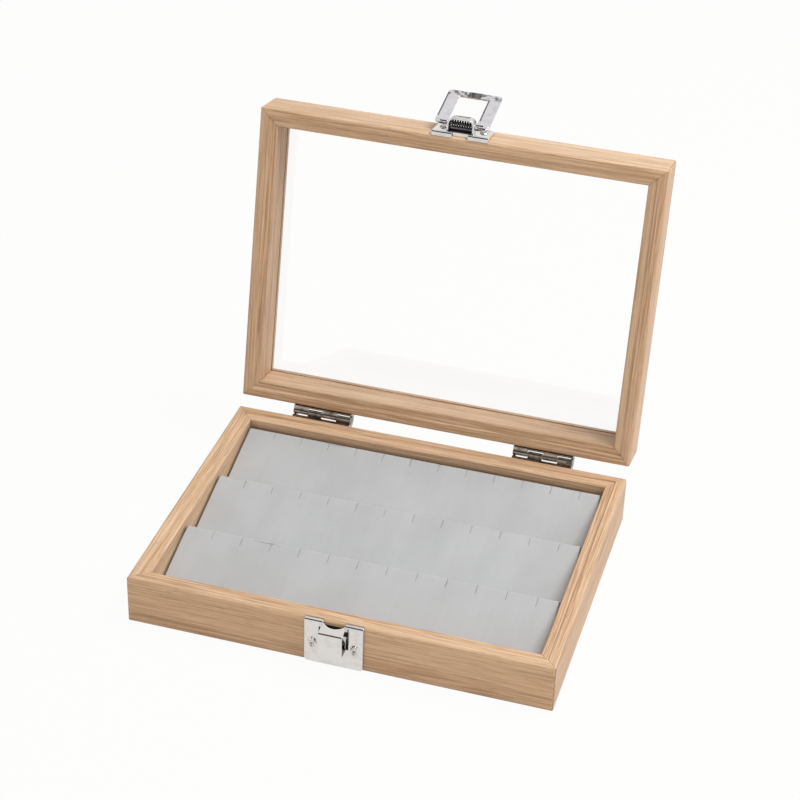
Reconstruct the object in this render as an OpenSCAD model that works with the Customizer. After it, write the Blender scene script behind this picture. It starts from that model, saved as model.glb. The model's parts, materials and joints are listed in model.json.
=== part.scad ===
// Lockable jewellery box: a mitred wooden base and a glazed lid on two stop hinges,
// three sloped velvet tiers with slits, and a hasp whose ring folds down over a staple.
// X runs to the right, Y to the back and Z up, and the origin is the middle of the underside.

/* [Case] */
// Width of the case across the front
box_w = 200; // [176:2:240]
// Depth of the case from front to back
box_d = 150; // [130:2:180]
// Height of the base
base_h = 25; // [23:0.2:30]
// Height of the lid
lid_h = 21.6; // [20:0.2:28]
// Gap between the two rims when the lid is shut
seam_gap = 0.3; // [0.2:0.1:0.8]
// How far the lid opens before the hinges stop it, in degrees
open_angle = 102; // [92:1:110]

/* [Rails] */
// Thickness of the rails, which is the width of the rim
rail_t = 9; // [8:0.5:11]
// Width of the raised outer band of the rim
band_w = 4.6; // [3.6:0.2:6]
// Depth of the step inside that band
step_h = 0.9; // [0.4:0.1:1.4]
// Radius of the eased edges along the rails
edge_r = 1.6; // [0.8:0.2:2.2]
// Radius of the upright corners of the case
corner_r = 1.4; // [0.6:0.2:2]
// Width of the glue line in each mitre
mitre_gap = 0.08; // [0.04:0.02:0.2]

/* [Bottom panel and pane] */
// Thickness of the bottom panel
panel_t = 3; // [2:0.5:4]
// How far the bottom panel reaches into the rails
rebate_w = 4; // [3:0.5:5]
// Thickness of the clear pane
pane_t = 2; // [1.5:0.5:3]
// How far the pane reaches into the rails
groove_w = 4; // [3:0.5:5]
// Wood left outside the pane
lip_t = 2.5; // [2:0.25:4]
// Clearance round the panel and round the pane
panel_fit = 0.1; // [0.05:0.05:0.3]

/* [Display insert] */
// Clearance between the insert and the walls
insert_fit = 1.1; // [0.6:0.1:2]
// Thickness of the board under the tiers
board_t = 1.5; // [1:0.5:2]
// Depth of the tiers' crests below the rim
crest_drop = 2.5; // [2:0.25:5]
// Height of a tier's low front edge over the board
tier_low = 5.8; // [3.4:0.2:7.4]
// Gap between one tier and the next
tier_gap = 1.2; // [0.6:0.2:2]
// Radius of the velvet over the edges of a tier
tier_r = 2.6; // [2.5:0.1:3]
// Thickness of the tiers' card
card_t = 1.4; // [1:0.2:1.6]
// Thickness of the velvet
velvet_t = 0.8; // [0.5:0.1:0.8]
// Width of the glue film between the velvet and the card
velvet_fit = 0.05; // [0.05:0.05:0.1]
// Length of a slit
slit_len = 7; // [5:0.5:10]
// Width of a slit
slit_w = 0.7; // [0.4:0.1:1]
// Distance from a tier's back face to its slits
slit_back = 1.2; // [1:0.2:4]
// Distance from one slit to the next
slit_pitch = 14.2; // [10:0.2:20]
// How many slits a tier has
slit_count = 12; // [6:1:12]
// How far the row of slits is cut to the right of the middle
slit_shift = 1.8; // [0:0.2:3]

/* [Hinges] */
// Distance of each hinge from the middle of the case
hinge_x = 57; // [40:1:70]
// Length of a hinge's barrel
hinge_len = 30; // [26:1:36]
// How many knuckles a hinge has, half of them on each leaf
knuckle_count = 4; // [4:2:6]
// Outer radius of the knuckles
knuckle_r = 1.5; // [1.3:0.1:1.8]
// Radius of the hinge pin
hinge_pin_r = 0.8; // [0.6:0.1:0.9]
// Radial clearance of the pins in their knuckles and ears
pin_fit = 0.05; // [0.03:0.01:0.08]
// Gap between the ends of the knuckles
knuckle_gap = 0.3; // [0.2:0.05:0.6]
// Distance of the hinge pin behind the back of the case
pin_back = 3.1; // [2.9:0.1:4]
// Height of the hinge pin over the rim of the base
pin_rise = 0.9; // [0.5:0.1:1.2]
// Thickness of the hinge leaves
leaf_t = 0.9; // [0.7:0.1:1.2]
// Height of a hinge leaf on the back of the case
leaf_h = 11; // [9:0.5:13]
// Thickness of the stop lugs at the ends of a leaf
lug_t = 1.2; // [0.8:0.1:1.6]
// Reach of the stop lugs from the pin
lug_reach = 5.6; // [4.5:0.1:6.5]

/* [Hasp plates] */
// How far the hasp sits to the left of the middle of the case
hasp_shift = 0.6; // [0:0.1:1.6]
// Width of the lower plate
catch_w = 27.4; // [25:0.2:32]
// Width of the upper plate
hasp_w = 27.8; // [26:0.2:34]
// Height of the upper plate
hasp_h = 14.4; // [13:0.2:17]
// How far the plates stand out from the wood
plate_t = 1.8; // [1.5:0.1:2]
// Height of the lower plate's foot over the underside of the case
catch_foot = 1.4; // [0.4:0.2:3]
// Radius of the plates' outer corners
plate_r = 1.5; // [0.8:0.1:2]
// Radius of the bend along the seam
roll_r = 1.1; // [0.6:0.1:1.4]
// How far the plates' lips reach in over the rails' rounded edges
lip_reach = 0.8; // [0.4:0.1:1]
// Thickness of the bent metal in the staple and the housing
metal_t = 0.9; // [0.7:0.1:1.1]

/* [Staple] */
// Width of the staple
staple_w = 11.2; // [10:0.2:12.6]
// How far the staple stands out from the wood
staple_out = 7.5; // [7:0.1:9]
// Distance from the rim of the base to the top of the staple's front
staple_drop = 2.2; // [2:0.1:3.4]
// Height of the staple's front
staple_h = 12; // [11:0.2:12.6]
// Width of the arched notch behind the staple's top
notch_w = 10.3; // [8:0.1:10.4]
// How far the notch reaches out from the wood
notch_out = 3; // [2.4:0.1:3.2]
// Width of the pierced slots beside the staple
side_slot_w = 1.3; // [1:0.1:1.5]
// How far the staple's side webs reach down along the plate
web_drop = 8; // [6:0.2:8.6]

/* [Housing and ring] */
// How far the housing sits to the left of the upper plate's middle
arch_shift = 0.8; // [0:0.1:0.9]
// Inner width of the arched housing
arch_w = 11.6; // [10.8:0.2:12]
// How far the inside of the arch stands out from the wood
arch_out = 7.4; // [7.4:0.1:8]
// Length of the housing along the plate
arch_len = 5.6; // [5.6:0.2:6.6]
// Distance from the housing's mouth to the ring's axle
arch_fore = 3.2; // [2.8:0.1:3.2]
// Distance from the seam to the ring's axle
axle_up = 6.4; // [6.2:0.2:8]
// Distance of the ring's axle from the wood
axle_out = 5; // [4.8:0.1:5]
// Radius of the ring's axle
axle_r = 0.8; // [0.6:0.1:0.8]
// Outer width of the ring
ring_w = 26.8; // [26:0.2:28]
// Width of the ring's side bars
ring_bar = 6.2; // [4:0.1:6.2]
// Width of the ring's far bar
far_bar = 4.4; // [1.6:0.2:5]
// Thickness of the ring
ring_t = 0.9; // [0.7:0.1:1.1]
// Radius of the ring's outer corners
ring_corner = 2.2; // [1.6:0.2:3]
// Width of the finger tab
tab_w = 6; // [4:0.5:8]
// How far the finger tab reaches past the far bar
tab_len = 2.4; // [1.6:0.2:3]
// Angle between the raised ring and the face of the lid, in degrees
ring_lift = 22; // [10:1:40]
// Clearance between the ring and what it passes or lies on
ring_fit = 0.4; // [0.3:0.05:0.6]
// Radius of the spring's wire
wire_r = 0.35; // [0.3:0.05:0.4]
// How many turns the spring has
spring_turns = 8; // [4:1:8]

/* [Screws] */
// Radius of the screws' shanks
screw_r = 1; // [0.8:0.1:1.2]
// Radius of the screws' heads
screw_head_r = 2.1; // [1.8:0.1:2.3]
// Height of the low domed heads on the hasp plates
dome_h = 0.7; // [0.4:0.1:0.8]
// How far the screws reach into the rails
screw_len = 5.5; // [4:0.5:6.5]
// Clearance round a screw's shank
screw_fit = 0.05; // [0.03:0.01:0.1]
// Distance of the hasp screws from the middle of the case
hasp_screw_x = 9.9; // [9.6:0.1:11]
// Distance of the hinge screws from the middle of their leaf
hinge_screw_x = 8; // [6:0.5:10]
// Distance from the rim to the hinge screws
hinge_screw_z = 7; // [6:0.5:8]

/* [Hidden] */
$fn = 48;

oak = "#cfa680";
velvet_grey = "#b9b9b9";
card_grey = "#8d8d8d";
nickel = "#8f8578";
bright_chrome = "#d9d7d4";
clear_glass = "#e8f1f2";

FRONT = 0;
RIGHT = 1;
BACK = 2;
LEFT = 3;
cut = 1;

inner_edge_r = 0.6;
inner_w = box_w - 2 * rail_t;
inner_d = box_d - 2 * rail_t;
front_y = -box_d / 2;
back_y = box_d / 2;
lid_z = base_h + seam_gap;
lid_top = lid_z + lid_h;

board_w = inner_w - 2 * insert_fit;
board_d = inner_d - 2 * insert_fit;
board_top = panel_t + board_t;
tier_d = board_d / 3 - tier_gap;
tier_h = base_h - crest_drop - board_top;
tier_slope = atan((tier_h - tier_low) / tier_d);
under_velvet = velvet_t + velvet_fit;
slit_over = 0.3;

pin_y = back_y + pin_back;
pin_z = base_h + pin_rise;
leaf_face = leaf_t - pin_back;
web_low = 2.4;
lug_gap = 0.5;
lug_inner = knuckle_r + lug_gap;
stop_half = (180 - open_angle) / 2;
stop_slack = 0.5;
hinge_head_h = 0.7;
screw_rim_r = 0.76 * screw_head_r;
screw_crown_r = 0.4 * screw_head_r;
screw_rim_share = 0.65;
screw_slot_w = 0.7;
screw_turn = 12;

catch_h = base_h - catch_foot;
catch_screw_z = base_h / 2;
staple_top = base_h - staple_drop;
staple_low = staple_top - staple_h;
staple_bend = 1.2;
web_foot = staple_top - metal_t / 2 - web_drop;
// Each pierced slot's distance below the staple's top, and its length
side_slots = [[0.8, 2.8], [7.3, 3.5]];
pocket_in = 3;
pocket_drop = 2.6;
lip_fit = 0.05;

hasp_x = -hasp_shift;
hasp_screw_in = 5.6;
hasp_screw_z = lid_z + hasp_h - hasp_screw_in;
roll_gap = 7.8;
arch_corner = 2.4;
ring_x = hasp_x - arch_shift;
axle_y = front_y - axle_out;
axle_z = lid_z + axle_up;
arch_low = axle_z - arch_fore;
// Length of the plate left whole under the housing's far end
arch_floor = 1;
arch_wall = arch_w / 2 + metal_t;
eye_t = 0.5;
eye_r = axle_r + eye_t;
ring_inner = staple_low - ring_fit;
ring_len = axle_z - ring_inner + far_bar;
eye_x = arch_wall + ring_fit;
eye_end = (ring_w - ring_bar) / 2;
ring_inner_r = 0.8;
tab_lean = 20;
coil_fit = 0.65;
spring_end_gap = 0.5;

// Points on an arc, from one angle to another
function arc(centre, r, from, to, steps = 6) = [
  for (i = [0 : steps])
    let (a = from + (to - from) * i / steps)
    centre + r * [cos(a), sin(a)]
];

// Takes a piece from its place on the shut lid to its place on the opened lid
module opened() {
  translate([0, pin_y, pin_z])
    rotate([-open_angle, 0, 0])
      translate([0, -pin_y, -pin_z])
        children();
}

// Extrudes a section drawn in depth and height along X, from x = 0
module along_x(length) {
  rotate([90, 0, 90])
    linear_extrude(length)
      children();
}

// Section of a rail: x is the distance in from its outer face, y the height from its outer edge
module rail_section(h) {
  polygon(concat(
    arc([edge_r, edge_r], edge_r, 270, 180),
    arc([edge_r, h - edge_r], edge_r, 180, 90),
    [
      [band_w, h],
      [band_w + step_h / 2, h - step_h],
      [rail_t - inner_edge_r, h - step_h],
      [rail_t, h - step_h - inner_edge_r],
      [rail_t, 0]
    ]
  ));
}

// Outline of the case seen from above, with rounded corners
module case_outline() {
  square([box_w - 2 * corner_r, box_d], center = true);
  square([box_w, box_d - 2 * corner_r], center = true);
  for (x = [-1, 1], y = [-1, 1])
    translate([x * (box_w / 2 - corner_r), y * (box_d / 2 - corner_r)])
      circle(corner_r);
}

// One mitred rail on a side of the case, standing on its outer edge
module rail(side, h) {
  span = side % 2 == 0 ? box_w : box_d;
  reach = side % 2 == 0 ? box_d / 2 : box_w / 2;
  long = span / 2 - mitre_gap / 2;
  short = long - rail_t;
  intersection() {
    rotate([0, 0, 90 * side])
      translate([-span / 2, -reach, 0])
        along_x(span)
          rail_section(h);
    rotate([0, 0, 90 * side])
      linear_extrude(h)
        polygon([[-long, -reach], [long, -reach], [short, rail_t - reach], [-short, rail_t - reach]]);
    linear_extrude(h)
      case_outline();
  }
}

// The space that the bottom panel or the pane takes out of the rails, grown by a clearance
module plate_space(reach_in, low, t, fit) {
  w = inner_w + 2 * reach_in;
  d = inner_d + 2 * reach_in;
  translate([-w / 2 - fit, -d / 2 - fit, low - fit])
    cube([w + 2 * fit, d + 2 * fit, t + 2 * fit]);
}

// Pilot hole of a screw that is driven towards +Y from a face at y
module pilot(x, y, z, towards) {
  translate([x, y - towards * cut, z])
    rotate([-90 * towards, 0, 0])
      cylinder(r = screw_r + screw_fit, h = cut + screw_len + screw_fit);
}

module catch_pilots() {
  for (x = [-1, 1])
    pilot(hasp_x + x * hasp_screw_x, front_y, catch_screw_z, 1);
}

// Pocket behind the staple, which the plate's window opens into
module staple_pocket() {
  w = staple_w - 2 * metal_t;
  translate([hasp_x - w / 2, front_y - cut, web_foot])
    cube([w, cut + pocket_in, base_h - pocket_drop - web_foot]);
}

module hasp_pilots() {
  for (x = [-1, 1])
    pilot(hasp_x + x * hasp_screw_x, front_y, hasp_screw_z, 1);
}

module hinge_pilots(z) {
  for (hinge = [-1, 1], x = [-1, 1])
    pilot(hinge * hinge_x + x * hinge_screw_x, back_y, z, -1);
}

module base_rail(side) {
  color(oak)
    difference() {
      rail(side, base_h);
      plate_space(rebate_w, -cut, panel_t + cut, panel_fit);
      if (side == FRONT) {
        catch_pilots();
        staple_pocket();
      }
      if (side == BACK)
        hinge_pilots(base_h - hinge_screw_z);
    }
}

module lid_rail(side) {
  color(oak)
    opened()
      difference() {
        translate([0, 0, lid_top])
          mirror([0, 0, 1])
            rail(side, lid_h);
        plate_space(groove_w, lid_top - lip_t - pane_t, pane_t, panel_fit);
        if (side == FRONT)
          hasp_pilots();
        if (side == BACK)
          hinge_pilots(lid_z + hinge_screw_z);
      }
}

module base_front_rail() { base_rail(FRONT); }
module base_right_rail() { base_rail(RIGHT); }
module base_back_rail() { base_rail(BACK); }
module base_left_rail() { base_rail(LEFT); }
module lid_front_rail() { lid_rail(FRONT); }
module lid_right_rail() { lid_rail(RIGHT); }
module lid_back_rail() { lid_rail(BACK); }
module lid_left_rail() { lid_rail(LEFT); }

module bottom_panel() {
  color(oak)
    plate_space(rebate_w, 0, panel_t, 0);
}

module glass_pane() {
  color(clear_glass, 0.35)
    opened()
      plate_space(groove_w, lid_top - lip_t - pane_t, pane_t, 0);
}

module insert_board() {
  color(card_grey)
    translate([-board_w / 2, -board_d / 2, panel_t])
      cube([board_w, board_d, board_t]);
}

// Outline of a tier from the side, drawn in by an inset: low at the front, with rounded edges
function tier_outline(inset) =
  let (
    lean = tan(tier_slope),
    drop = tier_r / cos(tier_slope),
    crest = [tier_d - tier_r, tier_low + (tier_d - tier_r) * lean - drop],
    brow = [tier_r, tier_low + tier_r * lean - drop]
  )
  concat(
    [[inset, 0], [tier_d - inset, 0]],
    arc(crest, tier_r - inset, 0, 90 + tier_slope),
    arc(brow, tier_r - inset, 90 + tier_slope, 180)
  );

// A tier's front face lies at this depth, where the tiers are counted from the front
function tier_y(index) = -board_d / 2 + tier_gap / 2 + index * board_d / 3;

// The row of slits, each cut down through the slope from a tier's crest
module slits() {
  far = tier_d - slit_back;
  near = far - slit_len;
  lean = tan(tier_slope);
  depth = (under_velvet + card_t) / cos(tier_slope) + slit_over;
  for (i = [0 : slit_count - 1])
    translate([slit_shift + (i - (slit_count - 1) / 2) * slit_pitch - slit_w / 2, 0, tier_low])
      along_x(slit_w)
        polygon([
          [near, near * lean - depth],
          [far, far * lean - depth],
          [far, tier_h],
          [near, tier_h]
        ]);
}

// One folded layer of a tier, between two insets of its outline
module tier_layer(index, outer, inner, end_inset) {
  translate([0, tier_y(index), board_top])
    difference() {
      translate([-board_w / 2 + end_inset, 0, 0])
        along_x(board_w - 2 * end_inset)
          difference() {
            polygon(tier_outline(outer));
            translate([0, -cut])
              polygon([for (p = tier_outline(inner)) p + [0, p[1] == 0 ? 0 : cut]]);
          }
      slits();
    }
}

module tier_card(index) {
  color(card_grey)
    tier_layer(index, under_velvet, under_velvet + card_t, velvet_fit);
}

module tier_velvet(index) {
  color(velvet_grey)
    tier_layer(index, 0, velvet_t, 0);
}

module front_tier_card() { tier_card(0); }
module middle_tier_card() { tier_card(1); }
module back_tier_card() { tier_card(2); }
module front_tier_velvet() { tier_velvet(0); }
module middle_tier_velvet() { tier_velvet(1); }
module back_tier_velvet() { tier_velvet(2); }

// A screw whose shank points to +Y from the origin and whose head stands on the -Y side
module slotted_screw(head_h, stand) {
  rim_h = screw_rim_share * head_h;
  rotate([90, 0, 0])
    difference() {
      union() {
        translate([0, 0, -screw_len])
          cylinder(r = screw_r, h = screw_len + stand);
        translate([0, 0, stand])
          cylinder(r1 = screw_head_r, r2 = screw_rim_r, h = rim_h);
        translate([0, 0, stand + rim_h])
          cylinder(r1 = screw_rim_r, r2 = screw_crown_r, h = head_h - rim_h);
      }
      translate([-screw_head_r, -screw_slot_w / 2, stand + head_h / 2])
        cube([2 * screw_head_r, screw_slot_w, head_h]);
    }
}

module catch_screws() {
  color(bright_chrome)
    for (x = [-1, 1])
      translate([hasp_x + x * hasp_screw_x, front_y, catch_screw_z])
        rotate([0, x * screw_turn, 0])
          slotted_screw(dome_h, plate_t);
}

module hasp_screws() {
  color(bright_chrome)
    opened()
      for (x = [-1, 1])
        translate([hasp_x + x * hasp_screw_x, front_y, hasp_screw_z])
          rotate([0, x * screw_turn, 0])
            slotted_screw(dome_h, plate_t);
}

module hinge_screws(z) {
  color(nickel)
    for (hinge = [-1, 1], x = [-1, 1])
      translate([hinge * hinge_x + x * hinge_screw_x, back_y, z])
        rotate([0, 0, 180])
          rotate([0, x * hinge * screw_turn, 0])
            slotted_screw(hinge_head_h, leaf_t);
}

module base_hinge_screws() { hinge_screws(base_h - hinge_screw_z); }
module lid_hinge_screws() { opened() hinge_screws(lid_z + hinge_screw_z); }

// Barrel of a knuckle round the pin, from x = 0
module knuckle(length) {
  along_x(length)
    circle(knuckle_r);
}

// Bent strip that joins a knuckle to its leaf, which hangs below the pin
module knuckle_web(length, leaf_top) {
  along_x(length)
    polygon([
      [-pin_back, leaf_top],
      [leaf_face, leaf_top],
      [0, knuckle_r],
      [0, 0],
      [leaf_face, -web_low],
      [-pin_back, -web_low]
    ]);
}

// Stop lug that stands out from the end of a leaf and meets the other leaf's lug
module stop_lug() {
  a = stop_half - 90 - stop_slack;
  along_x(lug_t)
    polygon(concat(
      [[leaf_face - leaf_t / 2, -lug_reach], [0, -lug_reach]],
      [lug_reach * [cos(a), sin(a)], lug_inner * [cos(a), sin(a)]],
      [[0, -lug_inner], [leaf_face - leaf_t / 2, -lug_inner]]
    ));
}

// A leaf in the pin's frame, hanging below the pin, with its knuckles over the given spans
module hinge_leaf(spans, rim) {
  difference() {
    union() {
      translate([-hinge_len / 2, -pin_back, -rim - leaf_h])
        cube([hinge_len, leaf_t, leaf_h]);
      for (s = spans)
        translate([s[0], 0, 0]) {
          knuckle(s[1] - s[0]);
          knuckle_web(s[1] - s[0], -rim);
        }
      for (x = [-hinge_len / 2, hinge_len / 2 - lug_t])
        translate([x, 0, 0])
          stop_lug();
    }
    translate([-hinge_len / 2 - cut, 0, 0])
      along_x(hinge_len + 2 * cut)
        circle(hinge_pin_r + pin_fit);
    for (x = [-1, 1])
      translate([x * hinge_screw_x, -pin_back - cut, -rim - hinge_screw_z])
        rotate([-90, 0, 0])
          cylinder(r = screw_r + screw_fit, h = leaf_t + 2 * cut);
  }
}

// Every other knuckle's start and end along a hinge, from the first or the second on the left
function knuckle_spans(first) = [
  for (i = [first : 2 : knuckle_count - 1])
    let (
      left = hinge_len * (i / knuckle_count - 1 / 2),
      right = left + hinge_len / knuckle_count
    )
    [left + (i == 0 ? 0 : knuckle_gap / 2), right - (i == knuckle_count - 1 ? 0 : knuckle_gap / 2)]
];

module base_leaf(hinge) {
  color(nickel)
    translate([hinge * hinge_x, pin_y, pin_z])
      hinge_leaf(knuckle_spans(1), pin_rise);
}

module lid_leaf(hinge) {
  color(nickel)
    opened()
      translate([hinge * hinge_x, pin_y, pin_z])
        mirror([0, 0, 1])
          hinge_leaf(knuckle_spans(0), seam_gap - pin_rise);
}

module left_hinge_base_leaf() { base_leaf(-1); }
module right_hinge_base_leaf() { base_leaf(1); }
module left_hinge_lid_leaf() { lid_leaf(-1); }
module right_hinge_lid_leaf() { lid_leaf(1); }

module hinge_pins() {
  color(nickel)
    for (hinge = [-1, 1])
      translate([hinge * hinge_x - hinge_len / 2, pin_y, pin_z])
        along_x(hinge_len)
          circle(hinge_pin_r);
}

// Plate on the front of the case, from its seam edge up: a lip along that edge is bent back
// over the rail's rounded edge
module seam_plate(w, h, gap_w) {
  difference() {
    union() {
      translate([-w / 2, 0, 0])
        along_x(w)
          difference() {
            translate([-plate_t / 2, 0])
              square([plate_t / 2 + lip_reach, edge_r]);
            translate([edge_r, edge_r])
              circle(edge_r + lip_fit);
          }
      translate([-w / 2, -plate_t, 0])
        cube([w, plate_t, h - plate_r]);
      translate([-w / 2 + plate_r, -plate_t, 0])
        cube([w - 2 * plate_r, plate_t, h]);
      for (x = [-1, 1])
        translate([x * (w / 2 - plate_r), 0, h - plate_r])
          rotate([90, 0, 0])
            cylinder(r = plate_r, h = plate_t);
    }
    translate([-w / 2 - cut, 0, 0])
      along_x(w + 2 * cut)
        difference() {
          translate([-plate_t - cut, -cut])
            square([cut + roll_r, cut + roll_r]);
          translate([roll_r - plate_t, roll_r])
            circle(roll_r);
        }
    translate([-gap_w / 2, -plate_t - cut, -cut])
      cube([gap_w, plate_t + 2 * cut, cut + edge_r]);
  }
}

// Side view of the staple's bent strap: y is out from the wood, z is up
module staple_side(inset) {
  top = staple_top - inset;
  low = staple_low + inset;
  out = inset - staple_out;
  foot = inset == 0 ? 0 : cut;
  bend = staple_bend - inset;
  polygon(concat(
    [[foot, low], [out + bend, low]],
    arc([out + bend, low + bend], bend, 270, 180, 4),
    arc([out + bend, top - bend], bend, 180, 90, 4),
    [[foot, base_h - roll_r - inset]]
  ));
}

// Side web under the staple's top, which leaves the lower front open for a shackle
module staple_web() {
  polygon([
    [-plate_t / 2, web_foot],
    [-plate_t / 2, base_h - roll_r - metal_t / 2],
    [metal_t - staple_out, staple_top - metal_t / 2]
  ]);
}

// Window of the plate between the staple's webs, and the pierced slots beside the staple
module staple_window() {
  w = staple_w - 2 * metal_t;
  translate([-w / 2, -plate_t - cut, web_foot])
    cube([w, plate_t + 2 * cut, base_h - web_foot + cut]);
  for (side = [-1, 1], slot = side_slots)
    translate([
      side * (staple_w / 2 + side_slot_w / 2) - side_slot_w / 2,
      -plate_t - cut,
      staple_top - slot[0] - slot[1]
    ])
      cube([side_slot_w, plate_t + 2 * cut, slot[1]]);
}

// Arched notch cut down through the back of the staple's top
module staple_notch() {
  r = (pow(notch_w / 2, 2) + pow(notch_out, 2)) / (2 * notch_out);
  translate([0, r - notch_out, staple_low + staple_h / 2])
    cylinder(r = r, h = base_h);
}

module catch_plate() {
  color(bright_chrome)
    translate([hasp_x, front_y, 0])
      difference() {
        union() {
          difference() {
            translate([0, 0, base_h])
              mirror([0, 0, 1])
                seam_plate(catch_w, catch_h, notch_w);
            staple_window();
          }
          difference() {
            translate([-staple_w / 2, 0, 0])
              along_x(staple_w)
                difference() {
                  staple_side(0);
                  staple_side(metal_t);
                }
            staple_notch();
          }
          for (x = [-staple_w / 2, staple_w / 2 - metal_t])
            translate([x, 0, 0])
              along_x(metal_t)
                staple_web();
        }
        for (x = [-1, 1])
          translate([x * hasp_screw_x, cut, catch_screw_z])
            rotate([90, 0, 0])
              cylinder(r = screw_r + screw_fit, h = plate_t + 2 * cut);
      }
}

// Outline of the arched housing from the front, grown outwards by the metal
module arch_outline(grow) {
  r = arch_corner + grow;
  half = arch_w / 2 + grow;
  out = arch_out + grow;
  translate([-half, 0])
    square([2 * half, out - r]);
  translate([r - half, 0])
    square([2 * (half - r), out]);
  for (x = [-1, 1])
    translate([x * (half - r), out - r])
      circle(r);
}

module hasp_plate() {
  color(bright_chrome)
    opened()
      translate([hasp_x, front_y, 0])
        difference() {
          union() {
            translate([0, 0, lid_z])
              seam_plate(hasp_w, hasp_h, roll_gap);
            translate([-arch_shift, 0, arch_low])
              linear_extrude(arch_len)
                mirror([0, 1])
                  arch_outline(metal_t);
          }
          translate([-arch_shift, 0, arch_low - cut])
            linear_extrude(arch_len + 2 * cut)
              mirror([0, 1])
                intersection() {
                  arch_outline(0);
                  translate([-arch_w / 2, plate_t])
                    square([arch_w, arch_out]);
                }
          translate([-arch_shift - arch_w / 2, -plate_t - cut, arch_low])
            cube([arch_w, plate_t + 2 * cut, arch_len - arch_floor]);
          translate([-arch_shift - arch_wall - cut, -axle_out, axle_z])
            along_x(2 * (arch_wall + cut))
              circle(axle_r);
          for (x = [-1, 1])
            translate([x * hasp_screw_x, cut, hasp_screw_z])
              rotate([90, 0, 0])
                cylinder(r = screw_r + screw_fit, h = plate_t + 2 * cut);
        }
}

module ring_axle() {
  color(bright_chrome)
    opened()
      translate([ring_x - eye_end, axle_y, axle_z])
        along_x(2 * eye_end)
          circle(axle_r);
}

// Rectangle with rounded corners, centred on x = 0 and standing on y = 0
module rounded_sheet(w, h, r) {
  translate([-w / 2, r])
    square([w, h - 2 * r]);
  translate([r - w / 2, 0])
    square([w - 2 * r, h]);
  for (x = [-1, 1], y = [r, h - r])
    translate([x * (w / 2 - r), y])
      circle(r);
}

// Loop that the ring is stamped to, hanging down from its axle and open between its two eyes
module ring_outline() {
  difference() {
    translate([0, -ring_len])
      rounded_sheet(ring_w, ring_len + eye_r, ring_corner);
    translate([0, far_bar - ring_len])
      rounded_sheet(ring_w - 2 * ring_bar, ring_len - far_bar - eye_r, ring_inner_r);
    translate([-eye_x, -eye_r - ring_inner_r])
      square([2 * eye_x, 2 * (eye_r + ring_inner_r)]);
  }
}

// Finger tab on the middle of the far bar, bent outwards
module finger_tab() {
  translate([-tab_w / 2, 0, far_bar / 2 - ring_len])
    rotate([-tab_lean, 0, 0])
      translate([0, -ring_t / 2, -tab_len - far_bar / 2])
        cube([tab_w, ring_t, tab_len + far_bar / 2]);
}

// The ring hanging straight down from its axle
module hanging_ring() {
  translate([0, ring_t / 2, 0])
    rotate([90, 0, 0])
      linear_extrude(ring_t)
        ring_outline();
  for (x = [-eye_end - eye_t, eye_x])
    translate([x, 0, 0])
      along_x(eye_end + eye_t - eye_x)
        circle(eye_r);
  finger_tab();
}

module hasp_ring() {
  color(bright_chrome)
    opened()
      translate([ring_x, axle_y, axle_z])
        rotate([ring_lift - 180, 0, 0])
          difference() {
            hanging_ring();
            translate([-eye_end - pin_fit, 0, 0])
              along_x(2 * (eye_end + pin_fit))
                circle(axle_r + pin_fit);
          }
}

// Coil spring round the axle, one unbroken wire of even turns
spring_len = arch_w - 2 * spring_end_gap;
coil_r = axle_r + coil_fit + wire_r;
coil_pitch = (spring_len - 2 * wire_r) / spring_turns;
coil_lean = atan(coil_pitch / (2 * PI * coil_r));
coil_facets = 8;
coil_steps = coil_facets * spring_turns;
wire_sides = 6;

function coil_point(i) =
  let (turn = 360 * i / coil_facets)
  [wire_r - spring_len / 2 + coil_pitch * i / coil_facets, coil_r * cos(turn), coil_r * sin(turn)];

// Ring of points round the wire at a step along the coil
function coil_ring(i) =
  let (turn = 360 * i / coil_facets)
  [for (k = [0 : wire_sides - 1])
    let (
      out = wire_r * cos(360 * k / wire_sides),
      side = wire_r * sin(360 * k / wire_sides)
    )
    coil_point(i)
      + out * [0, cos(turn), sin(turn)]
      + side * [cos(coil_lean), sin(coil_lean) * sin(turn), -sin(coil_lean) * cos(turn)]];

// Least distance between the wire's rings of points on neighbouring turns
coil_gap = min([
  for (i = [0 : coil_facets], a = coil_ring(i), b = coil_ring(i + coil_facets))
    norm(a - b)
]);
echo(spring_gap_between_turns = coil_gap);

module ring_spring() {
  points = [for (i = [0 : coil_steps]) each coil_ring(i)];
  sides = [
    for (i = [0 : coil_steps - 1], k = [0 : wire_sides - 1])
      let (
        a = i * wire_sides + k,
        b = i * wire_sides + (k + 1) % wire_sides
      )
      each [[a, a + wire_sides, b], [b, a + wire_sides, b + wire_sides]]
  ];
  last = coil_steps * wire_sides;
  caps = [
    for (k = [1 : wire_sides - 2])
      each [[0, k, k + 1], [last, last + k + 1, last + k]]
  ];
  color(nickel)
    opened()
      translate([ring_x, axle_y, axle_z])
        polyhedron(points, concat(sides, caps));
}

base_front_rail();
base_back_rail();
base_left_rail();
base_right_rail();
bottom_panel();
insert_board();
back_tier_card();
middle_tier_card();
front_tier_card();
back_tier_velvet();
middle_tier_velvet();
front_tier_velvet();
catch_plate();
catch_screws();
left_hinge_base_leaf();
right_hinge_base_leaf();
hinge_pins();
base_hinge_screws();
lid_front_rail();
lid_back_rail();
lid_left_rail();
lid_right_rail();
glass_pane();
left_hinge_lid_leaf();
right_hinge_lid_leaf();
lid_hinge_screws();
hasp_plate();
hasp_screws();
ring_axle();
ring_spring();
hasp_ring();
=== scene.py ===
import json
import math

import bmesh
import bpy
from mathutils import Matrix, Vector, noise

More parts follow.
